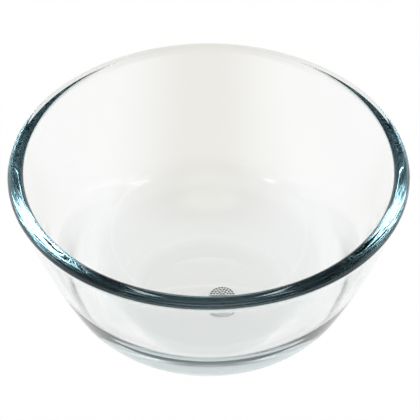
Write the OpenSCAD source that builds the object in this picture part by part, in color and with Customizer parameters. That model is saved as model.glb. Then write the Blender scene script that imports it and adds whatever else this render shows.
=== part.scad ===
// Glass mixing bowl: one pressing of clear glass with a rounded bead at its rim, a bowed wall, a thick wide heel,
// a flat floor, a narrow foot ring round a dished underside, and a round patch of stipple under its middle.

/* [Rim] */
// Outside diameter over the rim bead
rim_d = 240; // [200:1:280]
// Height of the rim above the surface that the bowl stands on
bowl_h = 113; // [95:1:135]
// Radius of the half-round bead round the outside of the rim
bead_r = 4; // [3:0.25:5]
// How far the bead stands out from the wall at the bead's underside
bead_overhang = 2.1; // [1:0.1:3]
// Radius of the hollow blend where the bead's underside runs into the wall
bead_blend_r = 1.5; // [0.5:0.25:3]
// Radius of the rounding between the top of the rim and the inside of the wall
lip_r = 3.5; // [1.5:0.25:4.5]

/* [Wall] */
// Thickness of the glass just under the bead
rim_t = 8.75; // [7:0.25:11]
// Thickness that the wall tapers to at the heel, before the rounding inside fills it out
heel_t = 7; // [6:0.25:9]
// Radius of the wall's outward bow, from heel to rim
wall_bow_r = 460; // [300:10:1500]

/* [Base] */
// Diameter over the outer edge of the foot ring
foot_d = 90; // [75:1:105]
// Width of the flat foot ring that the bowl stands on
foot_w = 3; // [2:0.5:6]
// Outside radius of the heel between foot ring and wall
heel_r = 50; // [40:1:60]
// Inside radius between the floor of the bowl and its wall
inner_heel_r = 75; // [60:1:85]
// Height of the inside floor above the surface that the bowl stands on
floor_h = 6.75; // [5.5:0.25:9]
// Diameter of the flat floor inside the bowl
floor_d = 80; // [70:1:90]
// Radius that softens the edge of the flat floor
floor_edge_r = 3; // [1:0.5:6]
// Rise of the dished underside at its middle
dish_h = 1.2; // [0.8:0.1:2]

/* [Stipple] */
// Diameter of the round patch of stipple
patch_d = 17; // [12:0.5:24]
// Distance of the patch's centre from the bowl's axis
patch_x = 8.5; // [0:0.5:15]
// Gap between the dots of the stipple and the surface that the bowl stands on
patch_gap = 0.4; // [0.3:0.05:0.6]
// Height of each dot of the stipple
dot_h = 0.5; // [0.3:0.05:0.6]
// Width of each dot
dot_d = 1.4; // [1:0.1:1.5]
// Distance from one ring of dots to the next
dot_pitch = 1.8; // [1.7:0.1:2.5]

/* [Hidden] */
glass = [0.80, 0.91, 0.94, 0.45];
arc_step = 4;
least_steps = 6;
$fn = 180;

// Points of an arc round centre c, from angle a0 to angle a1
function arc(c, r, a0, a1) =
    let (steps = max(least_steps, ceil(abs(a1 - a0) / arc_step)))
    [for (i = [0 : steps]) let (a = a0 + (a1 - a0) * i / steps) c + r * [cos(a), sin(a)]];

// Direction from one point to another, in degrees
function bearing(from, to) = atan2(to.y - from.y, to.x - from.x);

// The point at distance ra from a and rb from b, on the left of the way from a to b
function meet(a, ra, b, rb) =
    let (
        d = norm(b - a),
        along = (d * d + ra * ra - rb * rb) / (2 * d),
        aside = sqrt(ra * ra - along * along),
        u = (b - a) / d
    )
    a + along * u + aside * [-u.y, u.x];

// How far out from centre c a circle of radius r lies at height z
function reach(c, r, z) = c.x + sqrt(r * r - (z - c.y) * (z - c.y));

rim_r = rim_d / 2;
foot_r = foot_d / 2;
bead_c = [rim_r - bead_r, bowl_h - bead_r];

// The outside of the wall is an arc that is tangent to the heel and passes wall_top, under the bead.
heel_c = [foot_r, heel_r];
wall_top = [rim_r - bead_overhang, bowl_h - 2 * bead_r];
wall_c = meet(heel_c, wall_bow_r - heel_r, wall_top, wall_bow_r);
heel_a = bearing(wall_c, heel_c);
top_a = bearing(wall_c, wall_top);

// The blend under the bead touches both the bead and the wall from outside the glass.
blend_c = meet(bead_c, bead_r + bead_blend_r, wall_c, wall_bow_r + bead_blend_r);
blend_wall_a = bearing(wall_c, blend_c);
blend_bead_a = bearing(bead_c, blend_c);

// The inside of the wall is an arc set in by rim_t under the bead and by heel_t at the heel.
inner_bow_r = wall_bow_r - (rim_t + heel_t) / 2;
inner_top = wall_c + (wall_bow_r - rim_t) * [cos(top_a), sin(top_a)];
inner_low = wall_c + (wall_bow_r - heel_t) * [cos(heel_a), sin(heel_a)];
inner_c = meet(inner_low, inner_bow_r, inner_top, inner_bow_r);

// The inside of the heel is an arc that is tangent to the wall and meets the flat floor at its edge.
inner_heel_c = meet(inner_c, inner_bow_r - inner_heel_r, [floor_d / 2, floor_h], inner_heel_r);
inner_heel_a = bearing(inner_c, inner_heel_c);
floor_edge_z = floor_h + floor_edge_r;
floor_edge_c = [reach(inner_heel_c, inner_heel_r - floor_edge_r, floor_edge_z), floor_edge_z];
floor_edge_a = bearing(inner_heel_c, floor_edge_c);

// The lip's rounding gives way where the rim is too narrow for it beside the bead.
rim_room = bead_c.x - reach(inner_c, inner_bow_r, bowl_h);
rim_slope = 90 + bearing(inner_c, [bead_c.x, bowl_h]);
lip = min(lip_r, 0.99 * rim_room / tan(rim_slope / 2));
lip_c = [reach(inner_c, inner_bow_r + lip, bowl_h - lip), bowl_h - lip];
lip_a = bearing(inner_c, lip_c);

// The underside is dished inside the foot ring, as part of a large sphere.
dish_edge = foot_r - foot_w;
dish_r = (dish_edge * dish_edge + dish_h * dish_h) / (2 * dish_h);
dish_c = [0, dish_h - dish_r];

// Half of the bowl's section, from the axis under the base round the outside to the rim and back inside
section = concat(
    arc(dish_c, dish_r, 90, bearing(dish_c, [dish_edge, 0])),
    arc(heel_c, heel_r, -90, heel_a),
    arc(wall_c, wall_bow_r, heel_a, blend_wall_a),
    arc(blend_c, bead_blend_r, blend_wall_a + 180, blend_bead_a + 180),
    arc(bead_c, bead_r, blend_bead_a, 90),
    arc(lip_c, lip, 90, lip_a + 180),
    arc(inner_c, inner_bow_r, lip_a, inner_heel_a),
    arc(inner_heel_c, inner_heel_r, inner_heel_a, floor_edge_a),
    arc(floor_edge_c, floor_edge_r, floor_edge_a, -90),
    [[0, floor_h]]
);

// Rings of round dots under a shallow boss, which stay clear of what the bowl stands on
module stipple() {
    face_z = patch_gap + dot_h;
    rings = floor((patch_d - dot_d) / 2 / dot_pitch);
    translate([patch_x, 0, face_z])
        cylinder(d = patch_d, h = floor_h / 2 - face_z);
    translate([patch_x, 0, patch_gap])
        linear_extrude(2 * dot_h)
            for (ring = [0 : rings])
                for (i = [0 : max(0, 6 * ring - 1)])
                    rotate(i * 60 / max(1, ring))
                        translate([ring * dot_pitch, 0])
                            circle(d = dot_d);
}

module bowl() {
    color(glass) {
        rotate_extrude()
            polygon(section);
        stipple();
    }
}

bowl();
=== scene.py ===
"""Glass mixing bowl on a white ground, modelled as one lathed piece of clear glass with a stippled patch
under its base whose dots have painted shade, in a white studio with a dark ceiling. Seen by way of the
glass, the ground has painted shade and painted light. Lengths are in metres and angles in degrees."""

import math

import bpy
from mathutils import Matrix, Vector


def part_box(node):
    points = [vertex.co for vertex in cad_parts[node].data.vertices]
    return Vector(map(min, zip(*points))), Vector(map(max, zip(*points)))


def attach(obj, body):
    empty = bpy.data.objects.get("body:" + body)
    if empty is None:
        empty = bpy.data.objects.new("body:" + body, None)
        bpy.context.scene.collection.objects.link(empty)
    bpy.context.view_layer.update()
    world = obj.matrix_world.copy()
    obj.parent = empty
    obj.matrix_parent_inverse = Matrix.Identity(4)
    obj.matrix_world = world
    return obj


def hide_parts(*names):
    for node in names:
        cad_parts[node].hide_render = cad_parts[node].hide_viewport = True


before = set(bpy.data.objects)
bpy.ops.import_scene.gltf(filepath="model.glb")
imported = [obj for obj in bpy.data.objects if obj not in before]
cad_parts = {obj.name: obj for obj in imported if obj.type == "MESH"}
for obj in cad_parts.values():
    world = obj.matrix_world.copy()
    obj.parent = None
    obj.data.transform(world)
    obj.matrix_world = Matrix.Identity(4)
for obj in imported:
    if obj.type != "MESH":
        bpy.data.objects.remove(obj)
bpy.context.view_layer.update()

# Sizes of the bowl, of which the rim and the height come from the frame
low_corner, high_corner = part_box("bowl")
RIM_R = (high_corner[0] - low_corner[0]) / 2
BOWL_H = high_corner[2]
BEAD_R = 0.004
BEAD_OVERHANG = 0.0021
BEAD_BLEND_R = 0.0015
LIP_R = 0.0035
RIM_T = 0.00875
HEEL_T = 0.007
WALL_BOW_R = 0.46
FOOT_R = 0.045
FOOT_W = 0.003
HEEL_R = 0.05
INNER_HEEL_R = 0.075
FLOOR_H = 0.00675
FLOOR_R = 0.04
FLOOR_EDGE_R = 0.003

# The dished underside inside the foot ring, which is part of a large sphere
DISH_H = 0.0012
DISH_EDGE = FOOT_R - FOOT_W
DISH_R = (DISH_EDGE * DISH_EDGE + DISH_H * DISH_H) / (2 * DISH_H)

# Slight unevenness of the glass: its size, and waves by number round the bowl and pace along the section
SWAY = 0.00003
SWAY_WAVES = ((3, 60), (5, -85), (8, 140), (13, -40))

# The stippled patch under the base
PATCH_R = 0.0085
PATCH_X = 0.0085
PATCH_GAP = 0.0004
PATCH_EDGE = 0.0004
DOT_H = 0.0005
DOT_R = 0.0007
DOT_PITCH = 0.0018

# Fineness of the mesh
SEGMENTS = 360
TURNS = [360 * i / SEGMENTS for i in range(SEGMENTS)]
ARC_STEP = 2.5
LEAST_STEPS = 12
SAME_POINT = 1e-7
PATCH_RINGS = 56
DISH_RINGS = 8

# The camera, set from the ellipse of the rim in the photograph
IMAGE_PX = 420
FOCAL_PX = 2180
SENSOR_MM = 36
CAMERA_DISTANCE = 1.3
CAMERA_AZIMUTH = -90
CAMERA_ELEVATION = 40.99
CAMERA_PITCH = 42.19
CAMERA_SIDE = 0.0008

# The glass, and painted shade on the stipple's dots: the dark look that clear dots get from bending light is
# painted into the glass's colour
WHITE = (1, 1, 1, 1)
GLASS_IOR = 1.5
GLASS_TINT = (0.0, 0.36, 0.45, 1)
GLASS_DENSITY = 4.2
GLASS_ROUGHNESS = 0.0
DOT_PAINTED_SHADE = (0.004, 0.005, 0.006, 1)

# Bounces: the most that light takes, the bound above which a ray has bounced at all, the one above which
# the ground seen in the glass is painted dark, and the two between which the lamps show
LIGHT_BOUNCES = 48
ANY_BOUNCE = 0.5
DEEP_BOUNCES = 8.5
LAMP_BOUNCES = (6.5, 12.5)

# The surroundings: the backdrop near the horizon, the ceiling, where one turns into the other, and daylight
BACKDROP = 0.9
CEILING = 0.006
BACKDROP_TOP = (12, 30)
DAYLIGHT = 1.0

# Soft lights in the surroundings: azimuth, elevation, radius of the even part, outer radius, brightness
SKY_LIGHTS = (
    (-90, 50, 10, 26, 0.7),
    (90, 68, 12, 24, 0.3),
)
# Lamps that show only after several bounces in the glass, laid out in the same way
LAMPS = (
    (-48, 47, 8, 17, 14.0),
    (-126, 41, 5, 14, 12.0),
)

# The ground, and the share of it that glows for the camera, by way of glass and deep in the glass
FLOOR_SIZE = 6
FLOOR_DROP = 0.0002
FLOOR_COLOUR = (0.92, 0.89, 0.85, 1)
FLOOR_GLOW = 0.97
FLOOR_GLOW_IN_GLASS = 0.65
FLOOR_GLOW_DEEP = 0.95

# The glow by way of glass, with painted shade and light: a painted shadow, a dimmer wedge along the middle,
# which widens towards the front, with painted light beside it. An edge is where a blend starts and ends, for
# the wedge as a share of the distance ahead of its tip
WEDGE_X = -0.005
WEDGE_TIP = 0.16
WEDGE_LEAST = 0.125
WEDGE_EDGE = (0.06, 0.56)
# Painted light: beside the wedge the ground glows brighter by way of glass
SIDE_PAINTED_LIGHT = (1.03, 1.03, 1.03, 1)
# Painted shade by way of glass: far behind the bowl, nearer in the wedge, and on the ground under the base
FAR_EDGE = (0.06, 0.1)
FAR_PAINTED_SHADE = (0.86, 0.84, 0.795, 1)
NEAR_PAINTED_SHADE = (0.935, 0.94, 0.92, 1)
BASE_EDGE = (-0.02, 0.03)
BASE_PAINTED_SHADE = (0.81, 0.83, 0.825, 1)
# Painted dark: the colour of the ground's glow seen deep in the glass, after many bounces
DEEP_PAINTED_DARK = (0.04, 0.04, 0.04, 1)

# Painted light, a bright arc on the ground beside the foot's front: where it starts and ends outwards, and
# where its two ends fade
FRONT_START = (0.0485, 0.051)
FRONT_END = (0.062, 0.075)
FRONT_EDGE = (-0.03, -0.01)
FRONT_PAINTED_LIGHT = (1.14, 1.1, 1.09, 1)

# Sockets of a mix of colours, whose names a mix of numbers has too
MIX_SHARE = 0
MIX_FIRST = 6
MIX_SECOND = 7
MIX_RESULT = 2


def polar(centre, radius, angle):
    """The point at an angle on a circle."""
    turn = math.radians(angle)
    return (centre[0] + radius * math.cos(turn), centre[1] + radius * math.sin(turn))


def arc(centre, radius, start, end):
    """Points along an arc, in steps of at most ARC_STEP."""
    steps = max(LEAST_STEPS, math.ceil(abs(end - start) / ARC_STEP))
    return [polar(centre, radius, start + (end - start) * i / steps) for i in range(steps + 1)]


def bearing(start, end):
    """Direction from one point to another."""
    return math.degrees(math.atan2(end[1] - start[1], end[0] - start[0]))


def meet(a, radius_a, b, radius_b):
    """The point at given distances from two points, on the left of the way from a to b."""
    gap = math.dist(a, b)
    along = (gap * gap + radius_a * radius_a - radius_b * radius_b) / (2 * gap)
    aside = math.sqrt(radius_a * radius_a - along * along)
    ux, uy = (b[0] - a[0]) / gap, (b[1] - a[1]) / gap
    return (a[0] + along * ux - aside * uy, a[1] + along * uy + aside * ux)


def reach(centre, radius, height):
    """How far out a circle lies at a height."""
    return centre[0] + math.sqrt(radius * radius - (height - centre[1]) ** 2)


def section():
    """Half of the bowl's section, from the foot ring's inner edge round the rim to the floor inside."""
    bead = (RIM_R - BEAD_R, BOWL_H - BEAD_R)
    heel = (FOOT_R, HEEL_R)
    wall_top = (RIM_R - BEAD_OVERHANG, BOWL_H - 2 * BEAD_R)
    wall = meet(heel, WALL_BOW_R - HEEL_R, wall_top, WALL_BOW_R)
    heel_end = bearing(wall, heel)
    top_end = bearing(wall, wall_top)
    blend = meet(bead, BEAD_R + BEAD_BLEND_R, wall, WALL_BOW_R + BEAD_BLEND_R)
    blend_start = bearing(wall, blend)
    bead_start = bearing(bead, blend)
    inner_r = WALL_BOW_R - (RIM_T + HEEL_T) / 2
    inner_top = polar(wall, WALL_BOW_R - RIM_T, top_end)
    inner_low = polar(wall, WALL_BOW_R - HEEL_T, heel_end)
    inner = meet(inner_low, inner_r, inner_top, inner_r)
    inner_heel = meet(inner, inner_r - INNER_HEEL_R, (FLOOR_R, FLOOR_H), INNER_HEEL_R)
    inner_heel_end = bearing(inner, inner_heel)
    floor_edge_z = FLOOR_H + FLOOR_EDGE_R
    floor_edge = (reach(inner_heel, INNER_HEEL_R - FLOOR_EDGE_R, floor_edge_z), floor_edge_z)
    floor_edge_start = bearing(inner_heel, floor_edge)
    lip = (reach(inner, inner_r + LIP_R, BOWL_H - LIP_R), BOWL_H - LIP_R)
    lip_end = bearing(inner, lip)
    runs = (
        [(DISH_EDGE, 0)],
        arc(heel, HEEL_R, -90, heel_end),
        arc(wall, WALL_BOW_R, heel_end, blend_start),
        arc(blend, BEAD_BLEND_R, blend_start + 180, bead_start + 180),
        arc(bead, BEAD_R, bead_start, 90),
        arc(lip, LIP_R, 90, lip_end + 180),
        arc(inner, inner_r, lip_end, inner_heel_end),
        arc(inner_heel, INNER_HEEL_R, inner_heel_end, floor_edge_start),
        arc(floor_edge, FLOOR_EDGE_R, floor_edge_start, -90),
    )
    points = []
    for run in runs:
        for point in run:
            if not points or math.dist(point, points[-1]) > SAME_POINT:
                points.append(point)
    return points


def smooth(share):
    """A soft step from 0 to 1."""
    share = min(1, max(0, share))
    return share * share * (3 - 2 * share)


def dot_places():
    """Centres of the dots, in rings round the middle of the patch."""
    rings = int((PATCH_R - DOT_R) / DOT_PITCH)
    places = [(0, 0)]
    for ring in range(1, rings + 1):
        for i in range(6 * ring):
            places.append(polar((0, 0), ring * DOT_PITCH, i * 60 / ring))
    return places


def underside(x, y, dots):
    """Height of the dished underside at a point, with the patch and its dots."""
    height = DISH_H - DISH_R + math.sqrt(DISH_R * DISH_R - x * x - y * y)
    from_middle = math.dist((x, y), (PATCH_X, 0))
    if from_middle >= PATCH_R:
        return height
    boss = smooth((PATCH_R - from_middle) / PATCH_EDGE)
    height += boss * (PATCH_GAP + DOT_H - height)
    nearest = min(math.dist((x - PATCH_X, y), dot) for dot in dots)
    return height - DOT_H * math.sqrt(max(0, 1 - (nearest / DOT_R) ** 2))


def sway(turn, along):
    """Slight unevenness of pressed glass, by the angle round the bowl and the distance along its section."""
    waves = (math.sin(math.radians(order * turn) + pace * along) for order, pace in SWAY_WAVES)
    return SWAY * sum(waves) / len(SWAY_WAVES)


def underside_rings():
    """Rings of points under the base, from the patch's middle out to the inner edge of the foot ring."""
    circles = [(PATCH_X, PATCH_R * i / PATCH_RINGS) for i in range(1, PATCH_RINGS + 1)]
    for i in range(1, DISH_RINGS):
        share = i / DISH_RINGS
        circles.append((PATCH_X * (1 - share), PATCH_R + (DISH_EDGE - PATCH_R) * share))
    dots = dot_places()
    rings = [[(PATCH_X, 0, underside(PATCH_X, 0, dots))]]
    for middle, radius in circles:
        places = [polar((middle, 0), radius, turn) for turn in TURNS]
        rings.append([(x, y, underside(x, y, dots)) for x, y in places])
    return rings


def turned_rings():
    """Rings of points from the foot ring up round the rim and in to the middle of the floor."""
    rings = []
    along = 0
    before = None
    for radius, height in section():
        along += math.dist(before, (radius, height)) if before else 0
        before = (radius, height)
        places = [polar((0, 0), radius + sway(turn, along), turn) for turn in TURNS]
        rings.append([(x, y, height) for x, y in places])
    rings.append([(0, 0, FLOOR_H)])
    return rings


def bowl_mesh():
    """The bowl's mesh, with faces between each ring of points and the next."""
    verts = []
    rings = []
    for points in underside_rings() + turned_rings():
        rings.append(range(len(verts), len(verts) + len(points)))
        verts.extend(points)
    faces = []
    for lower, upper in zip(rings, rings[1:]):
        for i in range(SEGMENTS):
            j = (i + 1) % SEGMENTS
            if len(lower) == 1:
                faces.append((upper[i], upper[j], lower[0]))
            elif len(upper) == 1:
                faces.append((lower[j], upper[0], lower[i]))
            else:
                faces.append((lower[j], upper[j], upper[i], lower[i]))
    mesh = bpy.data.meshes.new("glass_bowl")
    mesh.from_pydata(verts, [], faces)
    mesh.shade_smooth()
    return mesh


def maths(tree, operation, first, second):
    """A maths node's result for two inputs, each a socket or a number."""
    node = tree.nodes.new("ShaderNodeMath")
    node.operation = operation
    for value, socket in zip((first, second), node.inputs):
        if isinstance(value, (int, float)):
            socket.default_value = value
        else:
            tree.links.new(value, socket)
    return node.outputs[0]


def product(tree, *factors):
    """The product of two or more sockets."""
    result = factors[0]
    for factor in factors[1:]:
        result = maths(tree, "MULTIPLY", result, factor)
    return result


def soft_step(tree, value, start, end, low, high):
    """A value that goes softly from low to high between two bounds."""
    step = tree.nodes.new("ShaderNodeMapRange")
    step.interpolation_type = "SMOOTHSTEP"
    step.inputs["From Min"].default_value = start
    step.inputs["From Max"].default_value = end
    step.inputs["To Min"].default_value = low
    step.inputs["To Max"].default_value = high
    tree.links.new(value, step.inputs["Value"])
    return step.outputs["Result"]


def blend_values(tree, share, first, second):
    """A number between a socket's value and a constant."""
    mix = tree.nodes.new("ShaderNodeMix")
    mix.data_type = "FLOAT"
    tree.links.new(share, mix.inputs["Factor"])
    tree.links.new(first, mix.inputs["A"])
    mix.inputs["B"].default_value = second
    return mix.outputs["Result"]


def blend_colours(tree, share, first, second):
    """A colour between two colours, of which the first may be a socket."""
    mix = tree.nodes.new("ShaderNodeMix")
    mix.data_type = "RGBA"
    tree.links.new(share, mix.inputs[MIX_SHARE])
    if isinstance(first, tuple):
        mix.inputs[MIX_FIRST].default_value = first
    else:
        tree.links.new(first, mix.inputs[MIX_FIRST])
    mix.inputs[MIX_SECOND].default_value = second
    return mix.outputs[MIX_RESULT]


def coordinates(tree, kind):
    """Coordinates of the kind given, as one vector and as X, Y and Z."""
    where = tree.nodes.new("ShaderNodeTexCoord").outputs[kind]
    parts = tree.nodes.new("ShaderNodeSeparateXYZ")
    tree.links.new(where, parts.inputs["Vector"])
    return where, parts.outputs


def painted_dot_shade_share(tree):
    """How far a place on the glass lies on a dot of the stipple, where shade is painted into the colour
    because the dots look dark from above.
    """
    _, parts = coordinates(tree, "Object")
    aside = maths(tree, "SUBTRACT", parts["X"], PATCH_X)
    square = maths(tree, "ADD", product(tree, aside, aside), product(tree, parts["Y"], parts["Y"]))
    in_patch = maths(tree, "LESS_THAN", square, PATCH_R * PATCH_R)
    low = soft_step(tree, parts["Z"], PATCH_GAP + DOT_H / 2, PATCH_GAP + DOT_H, 1, 0)
    return product(tree, in_patch, low)


def glass_material():
    """Clear pressed glass whose blue-green tint gathers along long paths, with painted shade on the
    stipple's dots.
    """
    material = bpy.data.materials.new("clear_glass")
    material.use_nodes = True
    tree = material.node_tree
    shader = tree.nodes["Principled BSDF"]
    # Painted shade: the stipple's dots are painted dark in the glass's base colour
    tree.links.new(blend_colours(tree, painted_dot_shade_share(tree), WHITE, DOT_PAINTED_SHADE), shader.inputs["Base Color"])
    shader.inputs["Roughness"].default_value = GLASS_ROUGHNESS
    shader.inputs["IOR"].default_value = GLASS_IOR
    shader.inputs["Transmission Weight"].default_value = 1
    tint = tree.nodes.new("ShaderNodeVolumeAbsorption")
    tint.inputs["Color"].default_value = GLASS_TINT
    tint.inputs["Density"].default_value = GLASS_DENSITY
    tree.links.new(tint.outputs["Volume"], tree.nodes["Material Output"].inputs["Volume"])
    return material


def by_glass(tree, path):
    """Whether a ray's last bounce was off or through glass."""
    return maths(tree, "MAXIMUM", path["Is Glossy Ray"], path["Is Transmission Ray"])


def glass_alone(tree, path):
    """Whether a ray has come by way of glass with no bounce off the ground."""
    no_ground_bounce = maths(tree, "LESS_THAN", path["Diffuse Depth"], ANY_BOUNCE)
    return product(tree, by_glass(tree, path), no_ground_bounce)


def deep_in_glass(tree, path):
    """Whether a ray has come by way of glass alone, after many bounces."""
    many = maths(tree, "GREATER_THAN", path["Ray Depth"], DEEP_BOUNCES)
    return product(tree, glass_alone(tree, path), many)


def glow_share(tree, path):
    """How much of the ground glows: most of it for the camera, less by way of glass, nearly all deep in the
    glass, where its glow is painted dark, and none as it lights.
    """
    dimmed = maths(tree, "MULTIPLY", by_glass(tree, path), FLOOR_GLOW_IN_GLASS)
    dimmed = blend_values(tree, deep_in_glass(tree, path), dimmed, FLOOR_GLOW_DEEP)
    return blend_values(tree, path["Is Camera Ray"], dimmed, FLOOR_GLOW)


def painted_light_arc(tree, where, parts):
    """How far a place on the ground lies on the painted light, a bright arc beside the front of the foot."""
    length = tree.nodes.new("ShaderNodeVectorMath")
    length.operation = "LENGTH"
    tree.links.new(where, length.inputs[0])
    from_axis = length.outputs["Value"]
    started = soft_step(tree, from_axis, *FRONT_START, 0, 1)
    not_ended = soft_step(tree, from_axis, *FRONT_END, 1, 0)
    in_front = soft_step(tree, parts["Y"], *FRONT_EDGE, 1, 0)
    return product(tree, started, not_ended, in_front)


def beside_painted_shadow(tree, parts):
    """How far a place on the ground lies to the side of the painted shadow, a dimmer wedge."""
    aside = maths(tree, "ABSOLUTE", maths(tree, "SUBTRACT", parts["X"], WEDGE_X), 0)
    ahead = maths(tree, "MAXIMUM", maths(tree, "SUBTRACT", WEDGE_TIP, parts["Y"]), WEDGE_LEAST)
    return soft_step(tree, maths(tree, "DIVIDE", aside, ahead), *WEDGE_EDGE, 0, 1)


def glow_colour(tree, path):
    """Colour of the ground's glow: white for the camera. By way of glass it has painted shade far behind, in
    a wedge along the middle and under the base, painted light at the sides and beside the foot's front, and
    painted dark deep in the glass.
    """
    where, parts = coordinates(tree, "Object")
    far = soft_step(tree, parts["Y"], *FAR_EDGE, 0, 1)
    base = soft_step(tree, parts["Y"], *BASE_EDGE, 1, 0)
    # Painted shade: far behind the bowl, nearer in the wedge, and under the base
    colour = blend_colours(tree, far, NEAR_PAINTED_SHADE, FAR_PAINTED_SHADE)
    colour = blend_colours(tree, base, colour, BASE_PAINTED_SHADE)
    # Painted light beside the painted shadow wedge
    colour = blend_colours(tree, beside_painted_shadow(tree, parts), colour, SIDE_PAINTED_LIGHT)
    # Painted light on the ground beside the foot's front
    colour = blend_colours(tree, painted_light_arc(tree, where, parts), colour, FRONT_PAINTED_LIGHT)
    # Painted dark: the ground seen deep in the glass
    colour = blend_colours(tree, deep_in_glass(tree, path), colour, DEEP_PAINTED_DARK)
    return blend_colours(tree, path["Is Camera Ray"], colour, WHITE)


def floor_material():
    """A white ground that keeps a share of the real shadow, and whose glow seen by way of glass has painted
    shade and light.
    """
    material = bpy.data.materials.new("white_ground")
    material.use_nodes = True
    tree = material.node_tree
    shader = tree.nodes["Principled BSDF"]
    shader.inputs["Base Color"].default_value = FLOOR_COLOUR
    shader.inputs["Roughness"].default_value = 1
    shader.inputs["Specular IOR Level"].default_value = 0
    path = tree.nodes.new("ShaderNodeLightPath").outputs
    glow = tree.nodes.new("ShaderNodeEmission")
    tree.links.new(glow_colour(tree, path), glow.inputs["Color"])
    mix = tree.nodes.new("ShaderNodeMixShader")
    tree.links.new(glow_share(tree, path), mix.inputs["Fac"])
    tree.links.new(shader.outputs["BSDF"], mix.inputs[1])
    tree.links.new(glow.outputs["Emission"], mix.inputs[2])
    tree.links.new(mix.outputs["Shader"], tree.nodes["Material Output"].inputs["Surface"])
    return material


def direction(azimuth, elevation):
    """Unit vector for an azimuth from +X and an elevation."""
    flat = math.cos(math.radians(elevation))
    turn = math.radians(azimuth)
    return Vector((flat * math.cos(turn), flat * math.sin(turn), math.sin(math.radians(elevation))))


def spot(tree, where, light):
    """How much of a round light with a soft edge shows in a direction."""
    azimuth, elevation, even, outer, _ = light
    facing = tree.nodes.new("ShaderNodeVectorMath")
    facing.operation = "DOT_PRODUCT"
    facing.inputs[1].default_value = direction(azimuth, elevation)
    tree.links.new(where, facing.inputs[0])
    edge, core = (math.cos(math.radians(angle)) for angle in (outer, even))
    return soft_step(tree, facing.outputs["Value"], edge, core, 0, 1)


def make_world():
    """White backdrop round the horizon, a dark ceiling with soft lights, and plain white for the camera.
    What lights the ground is even daylight, and the lights and the dark show in the glass alone."""
    world = bpy.data.worlds.new("studio")
    world.use_nodes = True
    bpy.context.scene.world = world
    tree = world.node_tree
    where, parts = coordinates(tree, "Generated")
    path = tree.nodes.new("ShaderNodeLightPath").outputs
    low, high = (math.sin(math.radians(angle)) for angle in BACKDROP_TOP)
    level = soft_step(tree, parts["Z"], low, high, BACKDROP, CEILING)
    for light in SKY_LIGHTS:
        level = blend_values(tree, spot(tree, where, light), level, light[-1])
    least, most = LAMP_BOUNCES
    enough = maths(tree, "GREATER_THAN", path["Ray Depth"], least)
    not_too_many = maths(tree, "LESS_THAN", path["Ray Depth"], most)
    for lamp in LAMPS:
        share = product(tree, spot(tree, where, lamp), enough, not_too_many)
        level = blend_values(tree, share, level, lamp[-1])
    for_ground = maths(tree, "SUBTRACT", 1, glass_alone(tree, path))
    level = blend_values(tree, for_ground, level, DAYLIGHT)
    level = blend_values(tree, path["Is Camera Ray"], level, 1)
    background = tree.nodes["Background"]
    background.inputs["Color"].default_value = WHITE
    tree.links.new(level, background.inputs["Strength"])


def make_camera():
    """The camera of the photograph, which looks down into the bowl from the front."""
    lens = bpy.data.cameras.new("camera")
    lens.sensor_width = SENSOR_MM
    lens.lens = SENSOR_MM * FOCAL_PX / IMAGE_PX
    camera = bpy.data.objects.new("camera", lens)
    place = direction(CAMERA_AZIMUTH, CAMERA_ELEVATION) * CAMERA_DISTANCE
    camera.location = place + Vector((CAMERA_SIDE, 0, BOWL_H))
    camera.rotation_euler = (math.radians(90 - CAMERA_PITCH), 0, 0)
    bpy.context.collection.objects.link(camera)
    bpy.context.scene.camera = camera


def make_floor():
    """The white ground that the bowl stands on."""
    half = FLOOR_SIZE / 2
    corners = [(x * half, y * half, -FLOOR_DROP) for x, y in ((-1, -1), (1, -1), (1, 1), (-1, 1))]
    mesh = bpy.data.meshes.new("ground")
    mesh.from_pydata(corners, [], [(0, 1, 2, 3)])
    mesh.materials.append(floor_material())
    ground = bpy.data.objects.new("ground", mesh)
    bpy.context.collection.objects.link(ground)


def make_bowl():
    """The visible bowl, which stands for the solid of the frame."""
    mesh = bowl_mesh()
    mesh.materials.append(glass_material())
    bowl = bpy.data.objects.new("glass_bowl", mesh)
    bpy.context.collection.objects.link(bowl)
    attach(bowl, "root")
    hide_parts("bowl")


scene = bpy.context.scene
scene.view_settings.view_transform = "Standard"
scene.cycles.max_bounces = LIGHT_BOUNCES
scene.cycles.glossy_bounces = LIGHT_BOUNCES
scene.cycles.transmission_bounces = LIGHT_BOUNCES
scene.cycles.blur_glossy = 0
scene.cycles.sample_clamp_indirect = 0

make_camera()
make_bowl()
make_floor()
make_world()
